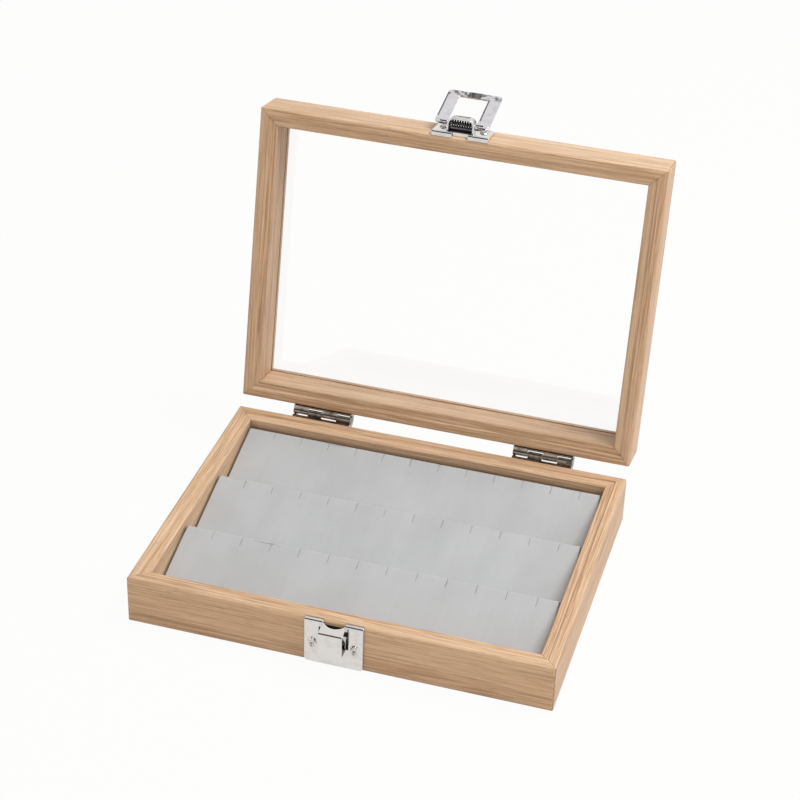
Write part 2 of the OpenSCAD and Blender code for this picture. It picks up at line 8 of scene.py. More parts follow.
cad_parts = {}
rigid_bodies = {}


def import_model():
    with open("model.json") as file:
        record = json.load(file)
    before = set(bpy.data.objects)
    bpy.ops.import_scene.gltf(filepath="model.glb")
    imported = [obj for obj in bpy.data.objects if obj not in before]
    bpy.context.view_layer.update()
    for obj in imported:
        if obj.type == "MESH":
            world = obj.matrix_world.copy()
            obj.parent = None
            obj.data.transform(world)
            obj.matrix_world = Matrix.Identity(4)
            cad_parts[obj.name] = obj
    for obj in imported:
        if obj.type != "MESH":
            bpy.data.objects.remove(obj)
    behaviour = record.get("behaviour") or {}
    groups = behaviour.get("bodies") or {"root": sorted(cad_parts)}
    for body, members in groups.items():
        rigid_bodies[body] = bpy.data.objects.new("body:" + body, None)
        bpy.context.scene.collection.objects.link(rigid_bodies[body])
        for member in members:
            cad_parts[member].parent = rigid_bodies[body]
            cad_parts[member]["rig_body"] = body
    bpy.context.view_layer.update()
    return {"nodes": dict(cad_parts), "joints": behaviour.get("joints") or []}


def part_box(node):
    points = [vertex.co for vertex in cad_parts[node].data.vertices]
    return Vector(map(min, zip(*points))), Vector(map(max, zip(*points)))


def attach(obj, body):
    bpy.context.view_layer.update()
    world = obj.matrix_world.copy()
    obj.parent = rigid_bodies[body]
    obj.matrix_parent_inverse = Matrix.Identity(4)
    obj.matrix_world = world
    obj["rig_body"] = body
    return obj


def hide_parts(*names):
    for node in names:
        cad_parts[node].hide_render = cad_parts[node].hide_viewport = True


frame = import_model()
nodes = frame["nodes"]
mm = 0.001

# The view and the studio
# The box stands on a white sweep and is seen from the front, a little from the right and from above.
# A broad lamp high on the right and a weak one in front light it softly. A dark ceiling over the
# camera and a dark doorway far on the left give the metal the dark lines along its folds.
eye = Vector((0.2287, -0.8000, 0.6430))
eye_azimuth = math.radians(15.62)
eye_elevation = math.radians(33.32)
eye_roll = math.radians(1.84)
film_width = 36
lens_length = 99.234
sweep_half = 3.0
sweep_drop = -0.2 * mm
sweep_paper = (0.72, 0.64, 0.55, 1)
sweep_glow = 0.96
air_colour = (1, 0.985, 0.96, 1)
air_strength = 0.41
backdrop_white = (1, 1, 1, 1)
backdrop_dark = (0.05, 0.05, 0.055, 1)
# Each dark area is the way to its middle, and the cosines at which it begins and is full.
dark_ceiling = ((0.135, -0.481, 0.866), 0.72, 0.88)
dark_doorway = ((-0.70, 0.70, 0.14), 0.86, 0.95)
lamp_aim = Vector((0, 0.02, 0.06))


def placed(name, data):
    """A new object in the scene that shows these data."""
    made = bpy.data.objects.new(name, data)
    bpy.context.scene.collection.objects.link(made)
    return made


def studio_camera():
    """A camera at the eye, turned by its azimuth, elevation and roll."""
    data = bpy.data.cameras.new("camera")
    data.sensor_width = film_width
    data.lens = lens_length
    backward = Vector((
        math.sin(eye_azimuth) * math.cos(eye_elevation),
        -math.cos(eye_azimuth) * math.cos(eye_elevation),
        math.sin(eye_elevation),
    ))
    level_right = (-backward).cross(Vector((0, 0, 1))).normalized()
    level_up = level_right.cross(-backward)
    right = level_right * math.cos(eye_roll) + level_up * math.sin(eye_roll)
    up = level_up * math.cos(eye_roll) - level_right * math.sin(eye_roll)
    turn = Matrix((right, up, backward)).transposed()
    made = placed("camera", data)
    made.matrix_world = Matrix.Translation(eye) @ turn.to_4x4()
    return made


def add_node(tree, kind, inputs=None, **settings):
    """Adds a shader node, sets its properties, and sets or links its inputs."""
    made = tree.nodes.new(kind)
    for name, value in settings.items():
        setattr(made, name, value)
    for socket, value in (inputs or {}).items():
        if isinstance(value, bpy.types.NodeSocket):
            tree.links.new(value, made.inputs[socket])
        else:
            made.inputs[socket].default_value = value
    return made


def calc(tree, operation, *values):
    """Output of a Math node."""
    return add_node(tree, "ShaderNodeMath", dict(enumerate(values)), operation=operation).outputs[0]


def mask_between(tree, value, low, high):
    """Rises smoothly from 0 at low to 1 at high."""
    return add_node(tree, "ShaderNodeMapRange", {
        "Value": value, "From Min": low, "From Max": high,
    }, interpolation_type="SMOOTHSTEP").outputs[0]


def blended(tree, factor, first, second):
    """Colour between two others."""
    return add_node(tree, "ShaderNodeMix", {
        0: factor, 6: first, 7: second,
    }, data_type="RGBA").outputs[2]


def combined(tree, operation, first, second):
    """Output of a Vector Math node."""
    return add_node(tree, "ShaderNodeVectorMath", {
        0: first, 1: second,
    }, operation=operation).outputs[0]


def new_material(name):
    """A material with an empty tree: returns it with its tree."""
    made = bpy.data.materials.new(name)
    made.use_nodes = True
    made.node_tree.nodes.clear()
    return made, made.node_tree


def seen_directly(tree):
    """1 where the camera sees a surface itself, in a mirror or through glass."""
    path = add_node(tree, "ShaderNodeLightPath")
    first = calc(tree, "MAXIMUM", path.outputs["Is Camera Ray"], path.outputs["Is Glossy Ray"])
    return calc(tree, "MAXIMUM", first, path.outputs["Is Transmission Ray"])


def white_paper():
    """Warm paper, which is white where it is seen directly."""
    made, tree = new_material("white_sweep")
    paper = add_node(tree, "ShaderNodeBsdfDiffuse", {"Color": sweep_paper})
    glow = add_node(tree, "ShaderNodeEmission", {"Color": backdrop_white, "Strength": 1.0})
    share = calc(tree, "MULTIPLY", seen_directly(tree), sweep_glow)
    both = add_node(tree, "ShaderNodeMixShader", {0: share, 1: paper.outputs[0], 2: glow.outputs[0]})
    add_node(tree, "ShaderNodeOutputMaterial", {"Surface": both.outputs[0]})
    return made


def white_sweep():
    """The floor, a hair below the underside of the box."""
    mesh = bpy.data.meshes.new("white_sweep")
    corners = [
        (x * sweep_half, y * sweep_half, sweep_drop)
        for x, y in ((-1, -1), (1, -1), (1, 1), (-1, 1))
    ]
    mesh.from_pydata(corners, [], [(0, 1, 2, 3)])
    mesh.materials.append(white_paper())
    return placed("white_sweep", mesh)


def studio_air():
    """Even light all round. The camera, mirrors and glass see a white backdrop with dark areas."""
    made = bpy.data.worlds.new("studio")
    made.use_nodes = True
    tree = made.node_tree
    tree.nodes.clear()
    toward = add_node(tree, "ShaderNodeTexCoord").outputs["Generated"]
    dim = 0.0
    for middle, edge, core in (dark_ceiling, dark_doorway):
        nearness = add_node(tree, "ShaderNodeVectorMath", {
            0: toward, 1: middle,
        }, operation="DOT_PRODUCT").outputs["Value"]
        dim = calc(tree, "MAXIMUM", dim, mask_between(tree, nearness, edge, core))
    shown = blended(tree, dim, backdrop_white, backdrop_dark)
    plain = add_node(tree, "ShaderNodeBackground", {"Color": air_colour, "Strength": air_strength})
    scenery = add_node(tree, "ShaderNodeBackground", {"Color": shown, "Strength": 1.0})
    both = add_node(tree, "ShaderNodeMixShader", {
        0: seen_directly(tree), 1: plain.outputs[0], 2: scenery.outputs[0],
    })
    add_node(tree, "ShaderNodeOutputWorld", {"Surface": both.outputs[0]})
    return made


def lamp(name, place, size, watts, colour):
    """A square soft lamp that shines at the box."""
    data = bpy.data.lights.new(name, "AREA")
    data.shape = "SQUARE"
    data.size = size
    data.energy = watts
    data.color = colour
    made = placed(name, data)
    aim = lamp_aim - Vector(place)
    made.matrix_world = Matrix.Translation(place) @ aim.to_track_quat("-Z", "Y").to_matrix().to_4x4()
    made.visible_camera = False
    made.visible_transmission = False


bpy.context.scene.camera = studio_camera()
bpy.context.scene.view_settings.view_transform = "Standard"
white_sweep()
bpy.context.scene.world = studio_air()
lamp("key_lamp", place=(0.70, 0.20, 1.4), size=0.85, watts=19.5, colour=(0.96, 0.975, 1))
lamp("front_lamp", place=(0.25, -1.15, 1.15), size=0.7, watts=3.3, colour=(1, 0.93, 0.84))

# Rails of the base
# Four lengths of board with a stepped inner rim, wrapped in a straight-grained pale oak paper,
# cut at 45 degrees and glued at the corners. Their edges are eased, which the paper follows.
oak_pale = (0.77, 0.54, 0.355, 1)
oak_brown = (0.58, 0.358, 0.203, 1)
oak_dark = (0.27, 0.135, 0.065, 1)
# Figures of the grain, in cycles a metre along it and across it.
oak_wander = (6, 25, 25)
oak_bands = (3, 150, 150)
oak_streaks = (14, 1000, 1000)
oak_fibres = (60, 2200, 2200)
oak_lines = (32, 1250, 1250)
oak_flecks = (150, 2600, 2600)
oak_sway = 2 * mm
# One cut of the paper lies this far from the next on the grain, in metres.
cut_apart = (0.731, 0.417, 0.593)
# A rise is where a figure begins to show and where it is full.
tone_rise = (0.40, 0.60)
cluster_rise = (0.35, 0.60)
line_rise = (0.52, 0.62)
pore_rise = (0.60, 0.72)
band_share = 0.18
streak_share = 0.50
fibre_share = 0.32
line_share = 0.45
pore_share = 0.30
paper_rough = 0.40
streak_rough = 0.16
fibre_height = 0.5
pore_depth = 0.6
grain_bump = 0.35
grain_relief = 0.06 * mm
# Painted shade: in creases the paper's colour goes over to this brown, through an occlusion node.
crease_shade_brown = (0.16, 0.085, 0.045, 1)
crease_shade_reach = 5 * mm
crease_shade_share = 0.8
crease_shade_closed = 0.12
crease_shade_open = 0.66
# Painted shade: near-black for the board in the pocket behind the staple.
pocket_painted_shade = (0.028, 0.021, 0.017, 1)
rail_edge = 0.14 * mm
weld = 0.001 * mm
flat_angle = math.radians(0.5)
sharp_angle = math.radians(30)
shading_angle = math.radians(50)


def stretched_noise(tree, place, stretch, detail=2.0, rough=0.5):
    """Noise drawn out along the axes: stretch is in cycles a metre."""
    return add_node(tree, "ShaderNodeTexNoise", {
        "Vector": combined(tree, "MULTIPLY", place, stretch),
        "Scale": 1.0,
        "Detail": detail,
        "Roughness": rough,
    })


def weighed(tree, *parts):
    """Sum of values, each times its share."""
    terms = [calc(tree, "MULTIPLY", value, share) for value, share in parts]
    total = terms[0]
    for term in terms[1:]:
        total = calc(tree, "ADD", total, term)
    return total


def new_group(name, inputs, outputs):
    """A node group with named sockets: returns it with the sockets that it is given."""
    tree = bpy.data.node_groups.new(name, "ShaderNodeTree")
    for way, sockets in (("INPUT", inputs), ("OUTPUT", outputs)):
        for socket, kind in sockets.items():
            tree.interface.new_socket(socket, in_out=way, socket_type="NodeSocket" + kind)
    return tree, add_node(tree, "NodeGroupInput").outputs


def oak_grain_group():
    """Straight oak grain. Place is in metres with the grain along X, and Cut tells rails apart."""
    tree, given = new_group(
        "oak_grain",
        {"Place": "Vector", "Cut": "Float", "Pale": "Color", "Brown": "Color", "Dark": "Color"},
        {"Color": "Color", "Roughness": "Float", "Height": "Float"},
    )
    shift = add_node(tree, "ShaderNodeVectorMath", {
        0: cut_apart, "Scale": given["Cut"],
    }, operation="SCALE").outputs[0]
    place = combined(tree, "ADD", given["Place"], shift)
    wander = stretched_noise(tree, place, oak_wander, detail=1.0).outputs[1]
    centred = combined(tree, "SUBTRACT", wander, (0.5, 0.5, 0.5))
    grain = combined(tree, "ADD", place, combined(tree, "MULTIPLY", centred, (0, oak_sway, oak_sway)))

    bands = stretched_noise(tree, grain, oak_bands).outputs[0]
    streaks = stretched_noise(tree, grain, oak_streaks, rough=0.6).outputs[0]
    fibres = stretched_noise(tree, grain, oak_fibres).outputs[0]
    lines = stretched_noise(tree, grain, oak_lines, detail=1.0).outputs[0]
    flecks = stretched_noise(tree, grain, oak_flecks, detail=1.0).outputs[0]

    tone = weighed(tree, (bands, band_share), (streaks, streak_share), (fibres, fibre_share))
    base = blended(tree, mask_between(tree, tone, *tone_rise), given["Pale"], given["Brown"])
    clusters = mask_between(tree, bands, *cluster_rise)
    dark_lines = calc(tree, "MULTIPLY", mask_between(tree, lines, *line_rise), clusters)
    lined = blended(tree, calc(tree, "MULTIPLY", dark_lines, line_share), base, given["Dark"])
    pores = mask_between(tree, flecks, *pore_rise)
    add_node(tree, "NodeGroupOutput", {
        "Color": blended(tree, calc(tree, "MULTIPLY", pores, pore_share), lined, given["Dark"]),
        "Roughness": calc(tree, "ADD", paper_rough, calc(tree, "MULTIPLY", streaks, streak_rough)),
        "Height": weighed(tree, (fibres, fibre_height), (pores, -pore_depth)),
    })
    return tree


def oak_painted_shade_group():
    """Painted shade: colour that goes over to another in creases, where little of the air within reach
    is open.
    """
    tree, given = new_group(
        "oak_crease_shade", {"Color": "Color", "Crease_shade": "Color", "Reach": "Float"}, {"Color": "Color"},
    )
    air = add_node(tree, "ShaderNodeAmbientOcclusion", {"Distance": given["Reach"]}, samples=8)
    openness = mask_between(tree, air.outputs["AO"], crease_shade_closed, crease_shade_open)
    share = calc(tree, "MULTIPLY", calc(tree, "SUBTRACT", 1.0, openness), crease_shade_share)
    add_node(tree, "NodeGroupOutput", {"Color": blended(tree, share, given["Color"], given["Crease_shade"])})
    return tree


def box_mask_group():
    """1 inside a box between two corners, and 0 outside."""
    tree, given = new_group(
        "box_mask", {"Place": "Vector", "Low": "Vector", "High": "Vector"}, {"Inside": "Float"},
    )
    place, low, high = (
        add_node(tree, "ShaderNodeSeparateXYZ", {0: given[name]}).outputs
        for name in ("Place", "Low", "High")
    )
    inside = 1.0
    for axis in range(3):
        above = calc(tree, "GREATER_THAN", place[axis], low[axis])
        below = calc(tree, "LESS_THAN", place[axis], high[axis])
        inside = calc(tree, "MULTIPLY", inside, calc(tree, "MULTIPLY", above, below))
    add_node(tree, "NodeGroupOutput", {"Inside": inside})
    return tree


oak_grain = oak_grain_group()
oak_crease_shade = oak_painted_shade_group()
box_mask = box_mask_group()


def within(tree, place, low, high):
    """1 inside a box, from the mask's group."""
    return add_node(tree, "ShaderNodeGroup", {
        "Place": place, "Low": low, "High": high,
    }, node_tree=box_mask).outputs[0]


def skinned(tree, inputs):
    """Gives a material one plain surface with these inputs."""
    skin = add_node(tree, "ShaderNodeBsdfPrincipled", inputs)
    add_node(tree, "ShaderNodeOutputMaterial", {"Surface": skin.outputs[0]})


def bumped(tree, height, strength, distance):
    """The surface's direction once this height is raised on it."""
    return add_node(tree, "ShaderNodeBump", {
        "Height": height, "Strength": strength, "Distance": distance,
    }).outputs[0]


def oak_paper(name, cut, rotation=(0, 0, 0), shade_box=None):
    """Oak paper on one piece, whose grain runs along X once the piece is turned by rotation.

    Painted shade darkens it in tight creases. Inside the given box, where the paper is cut away for
    the pocket behind the staple, it is painted near-black as painted shade.
    """
    made, tree = new_material(name)
    place = add_node(tree, "ShaderNodeTexCoord").outputs["Object"]
    along = add_node(tree, "ShaderNodeMapping", {"Vector": place, "Rotation": rotation}).outputs[0]
    grain = add_node(tree, "ShaderNodeGroup", {
        "Place": along, "Cut": cut, "Pale": oak_pale, "Brown": oak_brown, "Dark": oak_dark,
    }, node_tree=oak_grain)
    colour = add_node(tree, "ShaderNodeGroup", {
        "Color": grain.outputs["Color"], "Crease_shade": crease_shade_brown, "Reach": crease_shade_reach,
    }, node_tree=oak_crease_shade).outputs[0]
    # Painted shade: the box is painted near-black.
    if shade_box:
        colour = blended(tree, within(tree, place, *shade_box), colour, pocket_painted_shade)
    skinned(tree, {
        "Base Color": colour,
        "Roughness": grain.outputs["Roughness"],
        "Normal": bumped(tree, grain.outputs["Height"], grain_bump, grain_relief),
        "IOR": 1.5,
    })
    return made


def coated(piece, *finishes):
    """Gives a piece these finishes in the place of what it had."""
    piece.data.materials.clear()
    for finish in finishes:
        piece.data.materials.append(finish)


def shown_mesh(work, name):
    """A new object with the mesh that was worked on."""
    mesh = bpy.data.meshes.new(name)
    work.to_mesh(mesh)
    work.free()
    return placed(name, mesh)


def eased(node, width, segments=2, fine=None):
    """A rigid piece with its sharp edges broken, which stands for the plain one.

    Fine is a point on an axis along X, the reach around it, and the smaller width used there.
    """
    work = bmesh.new()
    work.from_mesh(nodes[node].data)
    bmesh.ops.remove_doubles(work, verts=work.verts, dist=weld)
    bmesh.ops.join_triangles(
        work, faces=work.faces, angle_face_threshold=flat_angle, angle_shape_threshold=math.pi,
    )
    sharp = [e for e in work.edges if e.is_manifold and e.calc_face_angle() > sharp_angle]
    steps = [(width, segments, sharp)]
    if fine:
        centre, reach, fine_width = fine
        near = [
            e for e in sharp
            if math.hypot(*((e.verts[0].co + e.verts[1].co) / 2 - centre).yz) < reach
        ]
        steps = [(width, segments, [e for e in sharp if e not in near]), (fine_width, 1, near)]
    for offset, rounds, edges in steps:
        bmesh.ops.bevel(
            work, geom=[e for e in edges if e.is_valid], offset=offset, offset_type="OFFSET",
            segments=rounds, profile=0.5, affect="EDGES", clamp_overlap=False,
        )
    bmesh.ops.recalc_face_normals(work, faces=work.faces)
    made = shown_mesh(work, "eased_" + node)
    made.data.shade_smooth()
    made.data.set_sharp_from_angle(angle=shading_angle)
    made.modifiers.new("even_shading", "WEIGHTED_NORMAL").keep_sharp = True
    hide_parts(node)
    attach(made, nodes[node]["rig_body"])
    return made


# The pocket behind the staple is cut through the paper into the board of the front rail, and its board
# is painted near-black as painted shade.
# Far out is a metre, past every piece.
far_out = 1.0
pocket_half = 7.3 * mm
pocket_foot = 7.0 * mm
pocket_top = 22.3 * mm
pocket_depth = 3.2 * mm
catch_low, catch_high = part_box("catch_plate")
catch_middle = (catch_low.x + catch_high.x) / 2
behind_staple = (
    (catch_middle - pocket_half, -far_out, pocket_foot),
    (catch_middle + pocket_half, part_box("base_front_rail")[0].y + pocket_depth, pocket_top),
)
# Each rail has its own cut of the paper, the turn of its grain, and the box that gets painted shade.
base_rails = {
    "base_front_rail": (1.0, 0, behind_staple),
    "base_right_rail": (2.0, -90, None),
    "base_back_rail": (3.0, 0, None),
    "base_left_rail": (4.0, -90, None),
}
for node, (cut, turned, shade_box) in base_rails.items():
    rail = eased(node, rail_edge)
    coated(rail, oak_paper("oak_" + node, cut, (0, 0, math.radians(turned)), shade_box))

# Bottom panel
# A thin sheet of fibreboard, papered like the rails. It lies in their rebate, where it is glued
# from below.
coated(nodes["bottom_panel"], oak_paper("oak_bottom_panel", 5.0))

# Insert: board and folded cards
# A board of pressed grey pulp lies on the bottom panel. Three cards of the same pulp, each folded
# to a wedge, are glued on it one behind the other.
card_grey = (0.23, 0.23, 0.23, 1)
card_light = (0.30, 0.30, 0.295, 1)
card_pulp = (900, 900, 900)
card_rise = (0.35, 0.65)
card_bump = 0.3
card_relief = 0.05 * mm


def grey_card():
    """Pressed grey board with its loose fibres."""
    made, tree = new_material("grey_card")
    place = add_node(tree, "ShaderNodeTexCoord").outputs["Object"]
    pulp = stretched_noise(tree, place, card_pulp, detail=4.0).outputs[0]
    skinned(tree, {
        "Base Color": blended(tree, mask_between(tree, pulp, *card_rise), card_grey, card_light),
        "Roughness": 0.92,
        "Normal": bumped(tree, pulp, card_bump, card_relief),
    })
    return made


card_board = grey_card()
for node in ("insert_board", "front_tier_card", "middle_tier_card", "back_tier_card"):
    coated(nodes[node], card_board)

# Velvet covers
# Short-piled grey velvet glued over each card: it rolls over the low brow and the high crest,
# and twelve slits are cut in it along the crest, whose lips part and sink a little.
tier_brow = 5.8 * mm
tier_round = 2.6 * mm
foot_spacing = 1.0 * mm
slope_spacing = 0.8 * mm
back_spacing = 1.5 * mm
brow_steps = 7
crest_steps = 10
pile_t = 0.55 * mm
slit_from_back = 1.2 * mm
slit_length = 6.6 * mm
slit_pitch = 14.2 * mm
slit_shift = 1.8 * mm
slits_in_a_row = 12
slit_part = 0.09 * mm
slit_part_spread = 0.4
slit_sink = 0.06 * mm
slit_run_out = 1.0 * mm
lip_reach = 0.8 * mm
lip_clear = 0.5 * mm
plain_columns = 72
end_insets = (0.35 * mm, 0.8 * mm)
end_roll = 0.9 * mm
end_fall = 0.22 * mm
wave_height = 0.09 * mm
wave_sink = 0.4
waves_across = 45
waves_along = 60
covers_apart = 3.7
slits_apart = 3.1
velvet_dark = (0.455, 0.460, 0.464, 1)
velvet_light = (0.519, 0.525, 0.530, 1)
velvet_mottle = (55, 40, 40)
velvet_lanes = (420, 30, 30)
velvet_tufts = (3600, 3600, 3600)
mottle_share = 0.5
lane_share = 0.12
tuft_share = 0.38
velvet_rise = (0.30, 0.70)
tuft_bump = 0.5
tuft_relief = 0.1 * mm
fold_angle = math.radians(60)
top_facing = 0.05


def arc_points(centre, radius, start, stop, steps):
    """Points on an arc in the plane of depth and height, after its first one."""
    angles = [start + (stop - start) * i / steps for i in range(1, steps + 1)]
    return [(centre[0] + radius * math.cos(a), centre[1] + radius * math.sin(a)) for a in angles]


def straight_points(start, stop, spacing):
    """Points on a straight run, after its first one."""
    steps = max(1, round(math.dist(start, stop) / spacing))
    return [
        (start[0] + (stop[0] - start[0]) * i / steps, start[1] + (stop[1] - start[1]) * i / steps)
        for i in range(1, steps + 1)
    ]


def tier_profile(depth, height):
    """The velvet's way round a tier, from its front foot over brow and crest to its back foot."""
    slope = math.atan2(height - tier_brow, depth)
    fall = tier_round / math.cos(slope)
    brow = (tier_round, tier_brow + tier_round * math.tan(slope) - fall)
    crest = (depth - tier_round, tier_brow + (depth - tier_round) * math.tan(slope) - fall)
    steep = math.pi / 2 + slope
    points = [(0.0, 0.0)]
    points += straight_points(points[-1], (0.0, brow[1]), foot_spacing)
    points += arc_points(brow, tier_round, math.pi, steep, brow_steps)
    top = (crest[0] + tier_round * math.cos(steep), crest[1] + tier_round * math.sin(steep))
    points += straight_points(points[-1], top, slope_spacing)
    points += arc_points(crest, tier_round, steep, 0.0, crest_steps)
    points += straight_points(points[-1], (depth, 0.0), back_spacing)
    return points


def velvet_columns(half_width):
    """Places of the columns of points across a cover: each with its slit's number and side of it.

    Side 1 is a lip of the slit and side 2 the flat velvet next to it, with minus on the left.
    """
    slits = [
        slit_shift + (i - (slits_in_a_row - 1) / 2) * slit_pitch for i in range(slits_in_a_row)
    ]
    columns = [
        (x, number, side)
        for number, x in enumerate(slits)
        for side in (-2, -1, 1, 2)
    ]
    for i in range(plain_columns + 1):
        x = -half_width + 2 * half_width * i / plain_columns
        if all(abs(x - s) > lip_reach + lip_clear for s in slits):
            columns.append((x, None, 0))
    for inset in end_insets:
        columns += [(-half_width + inset, None, 0), (half_width - inset, None, 0)]
    return sorted(columns, key=lambda c: (c[0], c[2]))


def velvet_row(columns, seed, u, foot, opening, ends):
    """Place across and lift off the card's line for each point of a row at depth u.

    Foot goes from 0 at the board to 1 above the brow, and opening is 1 where the slits are open.
    """
    row = []
    for x, number, side in columns:
        place = x
        lift = 0.0
        if abs(side) == 1:
            uneven = slit_part_spread * noise.noise(Vector((number * slits_apart, seed, 0.5)))
            place += math.copysign(slit_part * (1 + uneven), side)
            lift -= slit_sink * opening
        elif side:
            place += math.copysign(lip_reach, side)
        from_end = min(1.0, min(abs(place - end) for end in ends) / end_roll)
        lift -= end_fall * (1 - from_end) ** 2
        wave = noise.noise(Vector((place * waves_across, u * waves_along, seed * covers_apart)))
        lift += foot * from_end * wave_height * (wave - wave_sink)
        row.append((place, lift))
    return row


def thickened(piece):
    """Gives the sheet of a cover the thickness of its pile, into the card."""
    thick = piece.modifiers.new("pile", "SOLIDIFY")
    thick.thickness = pile_t
    thick.offset = -1
    bpy.context.view_layer.update()
    evaluated = piece.evaluated_get(bpy.context.evaluated_depsgraph_get())
    final = bpy.data.meshes.new_from_object(evaluated)
    piece.modifiers.clear()
    piece.data = final
    final.shade_smooth()
    final.set_sharp_from_angle(angle=fold_angle)


def velvet_cover(node, seed):
    """One cover as a closed sheet, laid over its card: returns it with its flat size."""
    low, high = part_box(node)
    profile = tier_profile(high.y - low.y, high.z - low.z)
    columns = velvet_columns(high.x)
    slit_end = high.y - low.y - slit_from_back
    slit_start = slit_end - slit_length
    work = bmesh.new()
    grid = []
    for r, (u, v) in enumerate(profile):
        before, after = profile[max(r - 1, 0)], profile[min(r + 1, len(profile) - 1)]
        along = Vector((after[0] - before[0], after[1] - before[1])).normalized()
        outward = Vector((-along.y, along.x))
        cut = outward.y > top_facing and slit_start < u < slit_end
        opening = min(1.0, min(u - slit_start, slit_end - u) / slit_run_out) if cut else 0.0
        row = velvet_row(columns, seed, u, min(1.0, v / tier_brow), opening, (low.x, high.x))
        grid.append((cut, [
            work.verts.new((place, low.y + u + outward.x * lift, low.z + v + outward.y * lift))
            for place, lift in row
        ]))
    for (cut, row), (next_cut, next_row) in zip(grid, grid[1:]):
        for c in range(len(columns) - 1):
            between_lips = columns[c][2] == -1 and columns[c + 1][2] == 1
            if not (between_lips and cut and next_cut):
                work.faces.new((row[c], row[c + 1], next_row[c + 1], next_row[c]))
    bmesh.ops.recalc_face_normals(work, faces=work.faces)
    made = shown_mesh(work, node.replace("tier_velvet", "velvet_cover"))
    thickened(made)
    run = sum(math.dist(a, b) for a, b in zip(profile, profile[1:]))
    return made, (2 * high.x, run)


def grey_velvet():
    """Short pile: faint mottling, brushed lanes up the slope and single tufts."""
    made, tree = new_material("grey_velvet")
    place = add_node(tree, "ShaderNodeTexCoord").outputs["Object"]
    mottle = stretched_noise(tree, place, velvet_mottle, detail=3.0).outputs[0]
    lanes = stretched_noise(tree, place, velvet_lanes).outputs[0]
    tufts = stretched_noise(tree, place, velvet_tufts).outputs[0]
    tone = weighed(tree, (mottle, mottle_share), (lanes, lane_share), (tufts, tuft_share))
    skinned(tree, {
        "Base Color": blended(tree, mask_between(tree, tone, *velvet_rise), velvet_dark, velvet_light),
        "Roughness": 0.95,
        "Specular IOR Level": 0.2,
        "Sheen Weight": 0.25,
        "Sheen Roughness": 0.5,
        "Normal": bumped(tree, tufts, tuft_bump, tuft_relief),
    })
    return made


velvet = grey_velvet()
for seed, name in enumerate(("front", "middle", "back")):
    node = name + "_tier_velvet"
    cover, flat = velvet_cover(node, seed)
    coated(cover, velvet)
    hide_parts(node)
    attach(cover, "base")

# Lower half of the hasp
# A plate stamped from sheet steel and chromed: its seam edge is rolled, a strap is bent out of it
# as the staple, and two screws with a domed head and a crossed recess hold it to the front rail.
# Darkened places of a plating go over to this near-black: painted shade along the ring's bars.
painted_dark = (0.045, 0.04, 0.042, 1)
metal_clouds = (260, 260, 260)
metal_scratches = (260, 900, 5200)
metal_patches = (520, 520, 520)
cloud_rise = (0.42, 0.72)
patch_rise = (0.42, 0.62)
cloud_share = 0.6
scratch_share = 0.4
scratch_bump = 0.12
scratch_relief = 0.02 * mm
plate_edge = 0.16 * mm
dome_radius = 2.1 * mm
dome_height = 0.8 * mm
dome_curve = 0.95 * mm
dome_foot = 0.06 * mm
dome_seat = 0.7 * mm
dome_points = 96
dome_rings = 26
shank_radius = 1.0 * mm
recess_reach = 1.2 * mm
recess_half = 0.62 * mm
recess_taper = 0.35
recess_wall = 0.12 * mm
recess_depth = 0.7 * mm
# A face of a head gets the painted shade of the recess where its four corners lie this deep in it
# together.
recess_corners = 1.4
head_weld = 0.0005 * mm
catch_turn = 0.3


def plated_metal_group():
    """Plated sheet metal: faint clouding and fine scratches."""
    tree, given = new_group(
        "plated_metal",
        {
            "Place": "Vector", "Bright": "Color", "Dull": "Color",
            "Smoothest": "Float", "Roughest": "Float",
        },
        {"Color": "Color", "Roughness": "Float", "Height": "Float"},
    )
    clouds = stretched_noise(tree, given["Place"], metal_clouds, detail=3.0).outputs[0]
    scratches = stretched_noise(tree, given["Place"], metal_scratches).outputs[0]
    wear = mask_between(tree, clouds, *cloud_rise)
    spread = calc(tree, "SUBTRACT", given["Roughest"], given["Smoothest"])
    mark = weighed(tree, (wear, cloud_share), (scratches, scratch_share))
    add_node(tree, "NodeGroupOutput", {
        "Color": blended(tree, wear, given["Bright"], given["Dull"]),
        "Roughness": calc(tree, "ADD", given["Smoothest"], calc(tree, "MULTIPLY", spread, mark)),
        "Height": scratches,
    })
    return tree


plated_metal = plated_metal_group()


def plating(name, bright, dull, smoothest, roughest, darkened=()):
    """A plated finish on its metal.

    Darkened lists boxes where the colour goes over to near-black: how dark, and how much of that comes
    in patches.
    """
    made, tree = new_material(name)
    place = add_node(tree, "ShaderNodeTexCoord").outputs["Object"]
    metal = add_node(tree, "ShaderNodeGroup", {
        "Place": place, "Bright": bright, "Dull": dull, "Smoothest": smoothest, "Roughest": roughest,
    }, node_tree=plated_metal)
    colour = metal.outputs["Color"]
    for low, high, darkness, patchy in darkened:
        patches = stretched_noise(tree, place, metal_patches).outputs[0]
        spread = calc(tree, "MAXIMUM", mask_between(tree, patches, *patch_rise), 1 - patchy)
        amount = calc(tree, "MULTIPLY", spread, darkness)
        amount = calc(tree, "MULTIPLY", within(tree, place, low, high), amount)
        colour = blended(tree, amount, colour, painted_dark)
    skinned(tree, {
        "Base Color": colour,
        "Metallic": 1.0,
        "Roughness": metal.outputs["Roughness"],
        "Normal": bumped(tree, metal.outputs["Height"], scratch_bump, scratch_relief),
    })
    return made


def solids_of(mesh):
    """The points of each separate solid of a mesh."""
    work = bmesh.new()
    work.from_mesh(mesh)
    left = set(work.verts)
    groups = []
    while left:
        group = [left.pop()]
        for vert in group:
            for other in (edge.other_vert(vert) for edge in vert.link_edges):
                if other in left:
                    left.remove(other)
                    group.append(other)
        groups.append([vert.co.copy() for vert in group])
    work.free()
    return groups


